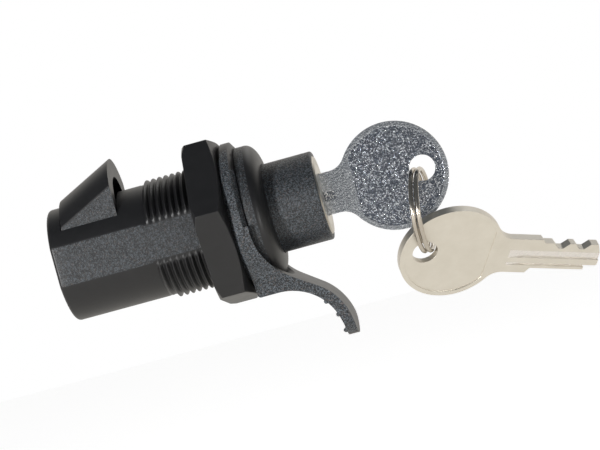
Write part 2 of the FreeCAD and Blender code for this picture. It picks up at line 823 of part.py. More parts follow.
def build_cam_screw():
    head_front = -cam_front - cam_thickness
    head = rod("screw_head_disc", screw_head_radius, head_front - screw_head, head_front)
    shank = rod("screw_shank", screw_radius, head_front - 0.1, tail_end + screw_length - 0.3)
    slot_span = (head_front - screw_head - 1, head_front - screw_head / 2)
    arm = screw_head_radius * screw_slot_share
    level = block("screw_slot_level", slot_span, (-arm, arm), (-0.3, 0.3))
    upright = block("screw_slot_upright", slot_span, (-0.3, 0.3), (-arm, arm))
    return cut("cam_screw", fuse("screw_whole", head, shank), level, upright)


# ---- Latch bolt ----
ramp_sum = -tongue_tip + tongue_slope - tongue_bottom - fit_gap * 2


def build_latch_bolt():
    ramp_rise = bolt_high_edge - bolt_low_edge
    length = bolt_rear - bolt_front
    foot_radius = chamber_radius - bolt_foot_gap
    foot_centre = button_travel
    bottom = foot_centre - foot_radius
    side = plate("bolt_side", "XZ_Plane", [
        (-bolt_rear, bottom),
        (-bolt_front, bottom),
        (-bolt_front, bolt_high_edge),
        (-bolt_rear, bolt_low_edge),
    ], bolt_width)
    low_rise = root(foot_radius * foot_radius - bolt_width * bolt_width / 4)
    arch_rise = root(bolt_arch * bolt_arch - bolt_width * bolt_width / 4)
    # The arch follows the ramp: its section is the same all the way, sheared up the slope.
    half = bolt_width / 2
    arch = doc.addObject("PartDesign::Body", "bolt_arch_body")
    sections = []
    for name, across, crown in (
        ("arch_rear", -bolt_rear, bolt_low_edge),
        ("arch_front", -bolt_front, bolt_high_edge),
    ):
        top_centre = crown - bolt_arch
        sketch = outline(arch, name, "YZ_Plane", [
            (-half, foot_centre - low_rise),
            (half, foot_centre - low_rise, foot_radius, 1, False),
            (half, top_centre + arch_rise),
            (-half, top_centre + arch_rise, bolt_arch, 1, False),
        ])
        bind(sketch, "AttachmentOffset.Base.z", across)
        sections.append(sketch)
    loft = arch.newObject("PartDesign::AdditiveLoft", "arch_loft")
    loft.Profile = sections[0]
    loft.Sections = [sections[1]]
    loft.Ruled = True
    arch.Tip = loft

    ceiling_front = bolt_high_edge - bolt_top_wall
    ceiling_rear = ceiling_front - ramp_rise / length * (length - bolt_rear_wall)
    room_rear = -bolt_rear + bolt_rear_wall
    room_half = half - bolt_side_wall
    room_side = plate("bolt_room_side", "XZ_Plane", [
        (-bolt_front + 1, ramp_sum + bolt_front - 1),
        (-bolt_front + 1, ceiling_front + ramp_rise / length),
        (room_rear, ceiling_rear),
        (room_rear, ramp_sum - room_rear),
    ], bolt_width)
    room_arch = rod(
        "bolt_room_arch", room_half, -bolt_rear, -bolt_front + 2, 0, ceiling_front - room_half
    )
    room_box = block(
        "bolt_room_box", (-bolt_rear, -bolt_front + 2), (-room_half, room_half),
        (bottom, ceiling_front - room_half),
    )
    room = common("bolt_room", room_side, fuse("bolt_room_front", room_arch, room_box))
    spring_top = ramp_sum + spring_seat_place - spring_seat_radius - spring_seat_cover
    spring_hole = post(
        "bolt_spring_hole", spring_seat_radius, bottom - 1, spring_top, -spring_seat_place
    )
    return cut("latch_bolt", arch, room, spring_hole), spring_top


def build_bolt_spring(top):
    foot = -chamber_radius - fit_gap * 3
    coil, clear = spring(
        "bolt_coil", bolt_spring_radius, bolt_spring_wire, bolt_spring_turns, foot, top, Rotation()
    )
    return place(coil, -spring_seat_place, 0, foot + clear)


def build_return_spring():
    coil, clear = spring(
        "return_coil", return_spring_radius, return_spring_wire, return_spring_turns,
        bulkhead_front, -carrier_rear, along_x,
    )
    return place(coil, bulkhead_front + clear, 0, 0)


# ---- Keys: drawn with the bow's centre at the origin and the blade to -X ----
def build_key(name):
    half = neck_width / 2
    reach = bow_radius + neck_bend
    bend_up = half + neck_bend
    bend_across = -root(reach * reach - bend_up * bend_up)
    touch_across = bend_across * bow_radius / reach
    touch_up = bend_up * bow_radius / reach
    shoulder = -shoulder_reach
    tip = -key_reach
    cut_low = blade_high - cut_depth
    steps = [
        (touch_across, -touch_up, neck_bend, -1, False),
        (touch_across, touch_up, bow_radius, 1, True),
        (bend_across, half, neck_bend, -1, False),
        (shoulder - shoulder_step, half),
        (shoulder - shoulder_step - (half - blade_high), blade_high),
    ]
    for n in range(2):
        middle = -cut_first - cut_pitch * n
        steps += [
            (middle + cut_floor + cut_depth, blade_high),
            (middle + cut_floor, cut_low),
            (middle - cut_floor, cut_low),
            (middle - cut_floor - cut_depth, blade_high),
        ]
    steps += [
        (tip + 1.3, blade_high),
        (tip, 1),
        (tip, -blade_low + strip_width),
        (tip + strip_end, -blade_low + strip_width),
        (tip + strip_end, -blade_low),
        (shoulder + blade_bevel - shoulder_step, -blade_low),
        (shoulder + blade_bevel, -half),
        (bend_across, -half),
    ]
    blank = plate(name + "_blank", "XZ_Plane", steps, key_thickness)
    face = key_thickness / 2
    hole = pin(name + "_hole", hole_radius, -face - 1, face + 1, hole_offset)
    tools = [hole]
    for side, start, end in (("near", -face - 1, field_depth - face), ("far", face - field_depth, face + 1)):
        disc = pin(name + "_field_disc_" + side, bow_radius - field_rim, start, end, 0)
        field_block = block(
            name + "_field_box_" + side, (-field_end, bow_radius), (start, end),
            (-bow_radius, bow_radius),
        )
        tools.append(common(name + "_field_" + side, disc, field_block))
    start = tip - 1
    high = mill_high_width / 2
    low = mill_low_width / 2
    near = (-face - 1, mill_depth - face)
    far = (face - mill_depth, face + 1)
    tools.append(block(name + "_mill_high", (start, -mill_start), far, (mill_high - high, mill_high + high)))
    tools.append(block(name + "_mill_low", (start, -mill_start), far, (-mill_low - low, low - mill_low)))
    tools.append(block(name + "_mill_near", (start, -mill_start), near, (-mill_high - high, high - mill_high)))
    return cut(name, blank, *tools)


# ---- Key ring: two turns of wire joined by a short crossing ----
def build_key_ring():
    half = ring_pitch / 2
    end = ring_radius * math.cos(math.radians(ring_sweep.number))
    side = ring_radius * math.sin(math.radians(ring_sweep.number))
    wires = []
    for name, up in (("upper", half), ("lower", -half)):
        wire = doc.addObject("Part::Torus", "ring_turn_" + name)
        bind(wire, "Radius1", ring_radius)
        bind(wire, "Radius2", ring_wire)
        bind(wire, "Angle3", ring_sweep)
        place(wire, 0, 0, up)
        wires.append(wire)
    start = Vector(end.number, side.number, half.number)
    stop = Vector(ring_radius.number, 0, -half.number)
    crossing = doc.addObject("Part::Cylinder", "ring_crossing")
    bind(crossing, "Radius", ring_wire)
    crossing.Placement = Placement(start, Rotation(Vector(0, 0, 1), stop - start))
    crossing.Height = (stop - start).Length
    for name, point in (("first", start), ("last", stop)):
        ball = doc.addObject("Part::Sphere", "ring_joint_" + name)
        bind(ball, "Radius", ring_wire)
        ball.Placement = Placement(point, Rotation())
        wires.append(ball)
    return fuse("key_ring", crossing, *wires)


housing = build_housing()
finger_pull = build_finger_pull()
hex_nut = build_hex_nut()
push_button = build_push_button()
carrier = build_carrier()
carrier_pins, shell_pins, stop_pin = build_pins()
cylinder_shell = build_shell()
lock_plug = build_plug()
wafers = build_wafers()
wafer_springs = build_wafer_springs()
plug_clip = build_clip()
lock_cam = build_cam()
cam_screw = build_cam_screw()
latch_bolt, spring_top = build_latch_bolt()
bolt_spring = build_bolt_spring(spring_top)
return_spring = build_return_spring()
key_1 = build_key("key_1")
key_2 = build_key("key_2")
key_ring = build_key_ring()

# The first key sits in the plug with its shoulder on the keyway's stop.
place(key_1, key_bow_place, 0, 0)

# The ring hangs in the first key's hole, and the second key hangs on the ring.
hole_place = key_bow_place + hole_offset
top_of_ring = Vector((hole_place - ring_hook).number, 0, 0)
lean = Rotation(Vector(0, 1, 0), ring_lean.number)
down = lean.multVec(Vector(0, 0, -1))
ring_centre = top_of_ring + down * ring_radius.number
ring_normal = Rotation(down, ring_tilt.number).multVec(lean.multVec(Vector(1, 0, 0)))
ring_tangent = ring_normal.cross(down)
key_ring.Placement = Placement(
    ring_centre, Rotation(ring_tangent, down, ring_normal, "ZXY") * Rotation(Vector(0, 0, 1), -60)
)
bottom_of_ring = ring_centre + down * ring_radius.number
heading = Rotation(Vector(0, 0, 1), second_heading.number)
droop = Rotation(heading.multVec(Vector(0, 1, 0)), second_droop.number)
second_along = droop.multVec(heading.multVec(Vector(1, 0, 0)))
level_face = heading.multVec(Vector(0, -1, 0))
second_face = Rotation(second_along, -second_roll.number).multVec(level_face)
second_up = second_face.cross(second_along)
turn = Rotation(-second_along, -second_face, second_up, "XZY")
second_hole = bottom_of_ring - second_along * second_hook.number
key_2.Placement = Placement(second_hole + second_along * hole_offset.number, turn)

labels = {
    "bolt_coil_coil": "bolt_spring",
    "return_coil_coil": "return_spring",
}
sub_parts = [
    housing, finger_pull, stop_pin, hex_nut, push_button, carrier, carrier_pins, cylinder_shell,
    shell_pins, return_spring, lock_plug, *wafers, wafer_springs, plug_clip, lock_cam, cam_screw,
    latch_bolt, bolt_spring, key_1, key_ring, key_2,
]

doc.recompute()
failed = [item.Name for item in doc.Objects if {"Invalid", "Error"} & set(item.State)]
if failed:
    raise SystemExit("failed: " + ", ".join(failed))

os.makedirs("parts", exist_ok=True)
for item in sub_parts:
    item.Label = labels.get(item.Name, item.Name)
    if item.Shape.isNull() or not item.Shape.isValid():
        raise SystemExit(item.Label + " has no valid shape")
for item in sub_parts:
    item.Shape.exportStep("parts/" + item.Label + ".step")
    box = item.Shape.BoundBox
    print(
        item.Label, len(item.Shape.Solids), "solid", round(item.Shape.Volume, 1), "mm3",
        [round(value, 2) for value in (box.XMin, box.YMin, box.ZMin, box.XMax, box.YMax, box.ZMax)],
    )
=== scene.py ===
import bmesh
import bpy
import math
from mathutils import Matrix, Vector


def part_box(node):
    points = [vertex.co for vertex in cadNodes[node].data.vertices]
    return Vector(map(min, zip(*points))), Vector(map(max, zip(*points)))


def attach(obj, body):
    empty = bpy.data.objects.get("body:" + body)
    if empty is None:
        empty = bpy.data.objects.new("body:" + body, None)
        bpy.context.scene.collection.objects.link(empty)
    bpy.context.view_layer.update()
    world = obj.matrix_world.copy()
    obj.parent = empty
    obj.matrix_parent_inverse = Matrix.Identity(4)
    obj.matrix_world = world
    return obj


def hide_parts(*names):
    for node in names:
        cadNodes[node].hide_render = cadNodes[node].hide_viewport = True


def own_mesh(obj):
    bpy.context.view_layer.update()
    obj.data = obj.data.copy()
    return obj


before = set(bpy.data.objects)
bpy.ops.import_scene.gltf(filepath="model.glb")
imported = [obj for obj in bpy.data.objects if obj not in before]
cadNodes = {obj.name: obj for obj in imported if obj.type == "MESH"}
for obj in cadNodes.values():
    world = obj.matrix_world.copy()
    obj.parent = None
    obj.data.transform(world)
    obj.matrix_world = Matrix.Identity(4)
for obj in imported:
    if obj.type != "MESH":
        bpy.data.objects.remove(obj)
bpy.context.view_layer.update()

mm = 0.001


class Wire:
    # a socket that takes part in sums
    def __init__(self, finish, socket):
        self.finish = finish
        self.socket = socket

    def sum(self, operation, first, second):
        return self.finish.node("Math", {"operation": operation}, {0: first, 1: second})

    def __add__(self, other):
        return self.sum("ADD", self, other)

    def __radd__(self, other):
        return self.sum("ADD", other, self)

    def __sub__(self, other):
        return self.sum("SUBTRACT", self, other)

    def __rsub__(self, other):
        return self.sum("SUBTRACT", other, self)

    def __mul__(self, other):
        return self.sum("MULTIPLY", self, other)

    def __rmul__(self, other):
        return self.sum("MULTIPLY", other, self)


class Finish:
    # one material, its Principled shader and the nodes that feed it
    def __init__(self, name, colour, **fixed):
        self.material = bpy.data.materials.new(name)
        self.material.use_nodes = True
        self.tree = self.material.node_tree
        self.shader = self.tree.nodes["Principled BSDF"]
        self.shader.inputs["Base Color"].default_value = (*colour, 1)
        for socket, value in fixed.items():
            self.shader.inputs[socket].default_value = value
        self.where = self.node("TexCoord", out="Object")

    def node(self, kind, settings=None, sockets=None, out=0):
        made = self.tree.nodes.new("ShaderNode" + kind)
        for key, value in (settings or {}).items():
            if key == "stops":
                ramp = made.color_ramp.elements
                while len(ramp) < len(value):
                    ramp.new(0.5)
                for stop, (place, shade) in zip(ramp, value):
                    stop.position = place
                    stop.color = (*shade, 1)
            else:
                setattr(made, key, value)
        for key, value in (sockets or {}).items():
            self.plug(made.inputs[key], value)
        return Wire(self, made.outputs[out])

    def plug(self, target, value):
        if isinstance(value, Wire):
            self.tree.links.new(value.socket, target)
        else:
            target.default_value = value

    def feed(self, socket, value):
        self.plug(self.shader.inputs[socket], value)

    def noise(self, size, detail=3.0, rough=0.6, stretch=(1, 1, 1)):
        # size is that of the grain in metres
        where = self.node("Mapping", None, {"Vector": self.where, "Scale": stretch}, out="Vector")
        wanted = {"Vector": where, "Scale": 1 / size, "Detail": detail, "Roughness": rough}
        return self.node("TexNoise", None, wanted, out="Fac")

    def ramp(self, value, *stops):
        greys = [(place, (shade, shade, shade)) for place, shade in stops]
        return self.node("ValToRGB", {"stops": greys}, {"Fac": value}, out="Color")

    def blend(self, factor, first, second):
        colours = {0: factor, 6: (*first, 1), 7: (*second, 1)}
        return self.node("Mix", {"data_type": "RGBA"}, colours, out=2)

    def bump(self, height, depth, strength=1.0):
        wanted = {"Height": height, "Distance": depth, "Strength": strength}
        self.feed("Normal", self.node("Bump", None, wanted, out="Normal"))


# how the moulded nylon looks; its glint colours are painted highlights
nylon = {
    "grainSize": 0.42 * mm,
    "grainDepth": 0.07 * mm,
    "darkColour": (0.012, 0.013, 0.015),
    # painted glint colours, standing for lamp highlights on the pebble tops
    "glintColour": (0.10, 0.115, 0.13),
    "warmGlintColour": (0.13, 0.10, 0.085),
    "smoothColour": (0.010, 0.010, 0.011),
    "texturedRoughness": 0.5,
    "smoothRoughness": 0.4,
}


def texturedNylon(name, size, light=1.0):
    # spark-eroded black nylon: a pebbled skin whose random specks carry painted glints, the
    # highlights a lamp would raise on the pebble tops; light scales those painted glints
    finish = Finish(name, nylon["darkColour"])
    grain = finish.noise(size, 2.0, 0.55)
    fine = finish.noise(size * 0.5, 1.0, 0.5)
    # the pale specks are painted glints mixed into the dark base, not a colour of the nylon
    glintSpots = finish.ramp(0.6 * grain + 0.4 * fine, (0.44, 0.0), (0.66, 1.0))
    warmGlintMask = finish.ramp(finish.noise(size * 1.3, 1.0), (0.56, 0.0), (0.66, 0.7))
    litGlint = tuple(c * light for c in nylon["glintColour"])
    paintedGlints = finish.blend(warmGlintMask, litGlint, tuple(c * light for c in nylon["warmGlintColour"]))
    finish.feed("Base Color", finish.node(
        "Mix", {"data_type": "RGBA"}, {0: glintSpots, 6: (*nylon["darkColour"], 1), 7: paintedGlints}, out=2
    ))
    finish.feed("Roughness", nylon["texturedRoughness"] - 0.14 * glintSpots)
    finish.bump(grain + 0.5 * fine, nylon["grainDepth"])
    return finish.material


def smoothNylon(name, colour, roughness):
    finish = Finish(name, colour)
    haze = finish.noise(3 * mm, 3.0)
    lighter = tuple(c * 1.5 + 0.003 for c in colour)
    finish.feed("Base Color", finish.blend(haze, colour, lighter))
    finish.feed("Roughness", roughness - 0.05 + 0.12 * haze)
    finish.bump(finish.noise(0.5 * mm, 2.0), 0.008 * mm)
    return finish.material


def platedSteel(name, colour, roughness, grain=0.4 * mm, depth=0.004 * mm, stretch=(1, 1, 1)):
    finish = Finish(name, colour, Metallic=1.0)
    streak = finish.noise(grain, 3.0, 0.6, stretch)
    darker = tuple(c * 0.78 for c in colour)
    finish.feed("Base Color", finish.blend(streak, darker, colour))
    finish.feed("Roughness", roughness - 0.08 + 0.18 * streak)
    finish.bump(streak, depth)
    return finish.material


def speckledNickel(name, dark, depth):
    # bright nickel over a coarse stamped face whose bump breaks reflections up; the dark base is
    # painted shade for the dim room it mirrors and the near-white specks are painted glints
    finish = Finish(name, dark, Metallic=1.0)
    tone = finish.noise(0.45 * mm, 3.0, 0.75)
    glintSpots = finish.ramp(finish.noise(0.3 * mm, 1.5, 0.6), (0.48, 0.0), (0.68, 1.0))
    # near-white painted glints over a dark painted-shade base
    finish.feed("Base Color", finish.blend(glintSpots, dark, (0.92, 0.95, 1.0)))
    finish.feed("Roughness", 0.14 + 0.1 * tone)
    finish.bump(tone, depth)
    return finish.material


def satinNickel():
    # warm nickel with fine lines along the key
    finish = Finish("satinNickel", (0.74, 0.70, 0.63), Metallic=1.0)
    cloud = finish.noise(4 * mm, 4.0, 0.6)
    fine = finish.noise(0.25 * mm, 2.0, 0.5, (0.25, 1, 1))
    finish.feed("Base Color", finish.blend(cloud, (0.70, 0.66, 0.58), (0.84, 0.80, 0.73)))
    finish.feed("Roughness", 0.3 + 0.12 * fine + 0.1 * cloud)
    finish.bump(fine + 0.5 * cloud, 0.006 * mm)
    return finish.material


# the last number brightens the painted glints, so the pull and button are lit copies of the
# barrel's nylon
barrelNylon = texturedNylon("barrelNylon", nylon["grainSize"])
pullNylon = texturedNylon("pullNylon", nylon["grainSize"] * 0.9, 2.1)
buttonNylon = texturedNylon("buttonNylon", nylon["grainSize"] * 0.9, 1.5)
boltNylon = texturedNylon("boltNylon", nylon["grainSize"] * 0.8, 1.0)
nutNylon = smoothNylon("nutNylon", nylon["smoothColour"], 0.42)
domeNylon = smoothNylon("domeNylon", nylon["smoothColour"], nylon["smoothRoughness"])
carrierNylon = smoothNylon("carrierNylon", (0.30, 0.30, 0.31), 0.45)
cylinderNickel = platedSteel("cylinderNickel", (0.62, 0.58, 0.51), 0.34)
plugNickel = platedSteel("plugNickel", (0.66, 0.62, 0.54), 0.3)
# the first key is bright nickel given a painted shade of the dim room it mirrors, with painted
# glints
keyNickel = speckledNickel("speckledNickel", (0.13, 0.15, 0.19), 0.09 * mm)
spareNickel = satinNickel()
# the rim is the same nickel with less painted shade and the same painted glints
rimNickel = speckledNickel("rimNickel", (0.5, 0.53, 0.58), 0.05 * mm)
milledNickel = platedSteel(
    "milledNickel", (0.95, 0.91, 0.88), 0.24, 0.3 * mm, 0.006 * mm, (0.2, 1, 1)
)
ringSteel = platedSteel("ringSteel", (0.62, 0.57, 0.50), 0.2, 0.3 * mm)
waferBrass = platedSteel("waferBrass", (0.80, 0.61, 0.30), 0.3, 0.3 * mm)
springSteel = platedSteel("springSteel", (0.55, 0.56, 0.58), 0.25, 0.3 * mm)
pinSteel = platedSteel("pinSteel", (0.58, 0.58, 0.58), 0.28, 0.3 * mm)
print("finishes made")


def piece(name, mesh, body, material, slot, *stoodFor, weighted=False):
    data = bpy.data.meshes.new(name)
    mesh.to_mesh(data)
    mesh.free()
    made = bpy.data.objects.new(name, data)
    bpy.context.collection.objects.link(made)
    for finish in material if isinstance(material, tuple) else (material,):
        data.materials.append(finish)
    if weighted:
        # keeps broad faces flat beside their narrow rounded corners
        made.modifiers.new("flatter", "WEIGHTED_NORMAL").keep_sharp = True
    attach(made, body)
    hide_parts(*stoodFor)
    return made


def smoothShade(mesh, sharp=38):
    for face in mesh.faces:
        face.smooth = True
    for edge in mesh.edges:
        if len(edge.link_faces) == 2:
            edge.smooth = edge.calc_face_angle(0) < math.radians(sharp)


keyShape = {
    "heading": 25.8, "droop": 16.8, "roll": -42.5,
    "ringBottom": (40.409, 0, -18.660), "bowShift": 5.6, "firstBow": (37.5, 0, 0),
    "halfThickness": 1.0, "millDepth": 0.45, "millStart": -14.2, "runOut": 4.2,
}


def keyFrame(nodeName):
    # where a key's bow centre lies and which way it is turned
    k = keyShape
    if nodeName == "key_1":
        return Matrix.Translation(Vector(k["firstBow"]) * mm)
    heading = Matrix.Rotation(math.radians(k["heading"]), 3, "Z")
    droop = Matrix.Rotation(math.radians(k["droop"]), 3, heading @ Vector((0, 1, 0)))
    along = droop @ heading @ Vector((1, 0, 0))
    face = Matrix.Rotation(math.radians(-k["roll"]), 3, along) @ heading @ Vector((0, -1, 0))
    turn = Matrix((-along, face, face.cross(along))).transposed().to_4x4()
    bow = Vector(k["ringBottom"]) + along * k["bowShift"]
    return Matrix.Translation(bow * mm) @ turn


def runOutGrooves(mesh, nodeName):
    # a milled groove rises to the surface where the cutter left the blade
    k = keyShape
    place = keyFrame(nodeName)
    back = place.inverted()
    for vertex in mesh.verts:
        local = back @ vertex.co
        deep = abs(abs(local.y) / mm - k["halfThickness"] + k["millDepth"]) < 0.02
        if deep and abs(local.x / mm - k["millStart"]) < 0.05:
            local.x -= k["runOut"] * mm
            vertex.co = place @ local


def finishKey(mesh, nodeName):
    # first finish the stamped field, second the rim and neck, third the milled grooves
    k = keyShape
    back = keyFrame(nodeName).inverted()
    for face in mesh.faces:
        local = back @ face.calc_center_median() / mm
        level = abs((back.to_3x3() @ face.normal).y) > 0.9
        sunk = level and abs(local.y) < k["halfThickness"] - 0.05
        face.material_index = (2 if local.x < k["millStart"] else 0) if sunk else 1


def softened(nodeName, width, segments=2, angle=32):
    # a copy of the CAD piece with its corners rounded off
    mesh = bmesh.new()
    mesh.from_mesh(cadNodes[nodeName].data)
    bmesh.ops.remove_doubles(mesh, verts=mesh.verts, dist=1e-6)
    bmesh.ops.dissolve_limit(
        mesh, angle_limit=math.radians(0.8), verts=mesh.verts, edges=mesh.edges, delimit={"NORMAL"}
    )
    if nodeName.startswith("key_"):
        runOutGrooves(mesh, nodeName)
    corners = [
        edge for edge in mesh.edges
        if len(edge.link_faces) == 2 and edge.calc_face_angle(0) > math.radians(angle)
    ]
    bmesh.ops.bevel(
        mesh, geom=corners, offset=width, offset_type="OFFSET", segments=segments, profile=0.5,
        affect="EDGES", clamp_overlap=True, material=-1,
    )
    if nodeName.startswith("key_"):
        mesh.normal_update()
        finishKey(mesh, nodeName)
    smoothShade(mesh)
    return mesh


nodeFinish = {
    "housing": barrelNylon, "finger_pull": pullNylon, "stop_pin": pinSteel, "hex_nut": nutNylon,
    "push_button": buttonNylon, "carrier": carrierNylon, "carrier_pins": pinSteel,
    "cylinder_shell": cylinderNickel, "shell_pins": pinSteel, "return_spring": springSteel,
    "lock_plug": plugNickel, "wafer_1": waferBrass, "wafer_2": waferBrass, "wafer_3": waferBrass,
    "wafer_4": waferBrass, "wafer_5": waferBrass, "wafer_springs": springSteel,
    "plug_clip": pinSteel, "lock_cam": pinSteel, "cam_screw": pinSteel, "latch_bolt": boltNylon,
    "bolt_spring": springSteel, "key_1": keyNickel, "key_ring": ringSteel, "key_2": spareNickel,
}
for nodeName, finish in nodeFinish.items():
    data = cadNodes[nodeName].data
    data.materials.clear()
    data.materials.append(finish)
print("frame pieces finished")


def bridge(mesh, first, second, closed=True):
    # quads between two rows of vertices
    count = len(first)
    made = []
    for n in range(count if closed else count - 1):
        after = (n + 1) % count
        corners = [first[n], first[after], second[after], second[n]]
        corners = [c for k, c in enumerate(corners) if c not in corners[:k]]
        if len(corners) > 2:
            made.append(mesh.faces.new(corners))
    return made


def tube(mesh, path, radius, sides=16):
    # round wire along a path, with domed ends
    points = [Vector(p) for p in path]
    ahead = (points[1] - points[0]).normalized()
    aside = ahead.orthogonal().normalized()
    rows = []
    start, end = points[0], points[-1]
    # share of the radius, and how far back, of the two rows that round off each end
    tip = 0.94
    ends = ((0.35, -tip), (0.75, -0.66))
    last = (points[-1] - points[-2]).normalized()
    stations = [(start + ahead * radius * (back + tip), share) for share, back in ends]
    stations += [(p, 1.0) for p in points[1:-1]]
    stations += [(end - last * radius * (back + tip), share) for share, back in reversed(ends)]
    for n, (place, share) in enumerate(stations):
        before = stations[max(n - 1, 0)][0]
        after = stations[min(n + 1, len(stations) - 1)][0]
        ahead = (after - before).normalized()
        aside = (aside - ahead * aside.dot(ahead)).normalized()
        third = ahead.cross(aside)
        row = []
        for k in range(sides):
            turn = 2 * math.pi * k / sides
            spoke = aside * math.cos(turn) + third * math.sin(turn)
            row.append(mesh.verts.new(place + spoke * radius * share))
        rows.append(row)
    for first, second in zip(rows, rows[1:]):
        bridge(mesh, first, second)
    mesh.faces.new(rows[0][::-1])
    mesh.faces.new(rows[-1])


def arc(centreAcross, centreUp, radius, start, end, count):
    # points on an arc, in degrees from the first axis
    points = []
    for n in range(count + 1):
        angle = math.radians(start + (end - start) * n / count)
        across, up = radius * math.cos(angle), radius * math.sin(angle)
        points.append((centreAcross + across, centreUp + up))
    return points


def cleaned(mesh):
    bmesh.ops.remove_doubles(mesh, verts=mesh.verts, dist=2e-7)
    bmesh.ops.recalc_face_normals(mesh, faces=mesh.faces)
    return mesh


def shrunk(mesh):
    # drawn in millimetres, kept in metres
    bmesh.ops.scale(mesh, vec=(mm, mm, mm), verts=mesh.verts)
    return mesh


# the barrel, its bolt slot, thread and domed head, in millimetres and degrees
barrel = {
    "rear": -42.0, "radius": 13.2, "flat": 12.4, "rearRound": 0.8,
    "slotRear": -38.7, "slotFront": -25.0, "slotHalf": 10.5, "chamberRadius": 11.7,
    "windowHalf": 5.3, "windowLow": -1.1, "windowHigh": 3.0, "bulkhead": -22.9,
    "threadEnd": -19.5, "threadRadius": 14.0, "threadRoot": 13.13, "pitch": 1.5, "turns": 13.1,
    "crest": 0.1, "headRear": 3.5, "headRadius": 15.7, "headRim": 5.8, "headFront": 8.7,
    "domeInner": 10.93, "bore": 10.53, "edgeRound": 0.3, "step": 2.0,
    "domeSteps": 14, "bulkheadHole": 6, "ridgeStep": 3, "ridgeFade": 50,
}


def barrelAngles():
    # measured from straight up, with one at each corner that the slot and flats need
    marks = set()
    for half, reach in (
        (barrel["slotHalf"], barrel["radius"]), (barrel["windowHalf"], barrel["radius"]),
        (barrel["flat"], barrel["radius"]), (barrel["flat"], barrel["threadRadius"]),
    ):
        mark = math.degrees(math.asin(half / reach))
        marks.update((mark, -mark, 180 - mark, mark - 180))
    even = [n * barrel["step"] - 180 for n in range(int(360 / barrel["step"]))]
    even = [a for a in even if min(abs(a - m) for m in marks) > barrel["step"] * 0.35]
    return sorted(list(marks) + even)


def barrelPoint(across, radius, angle, flat):
    side = radius * math.sin(math.radians(angle))
    side = max(-flat, min(flat, side))
    return Vector((across, side, radius * math.cos(math.radians(angle))))


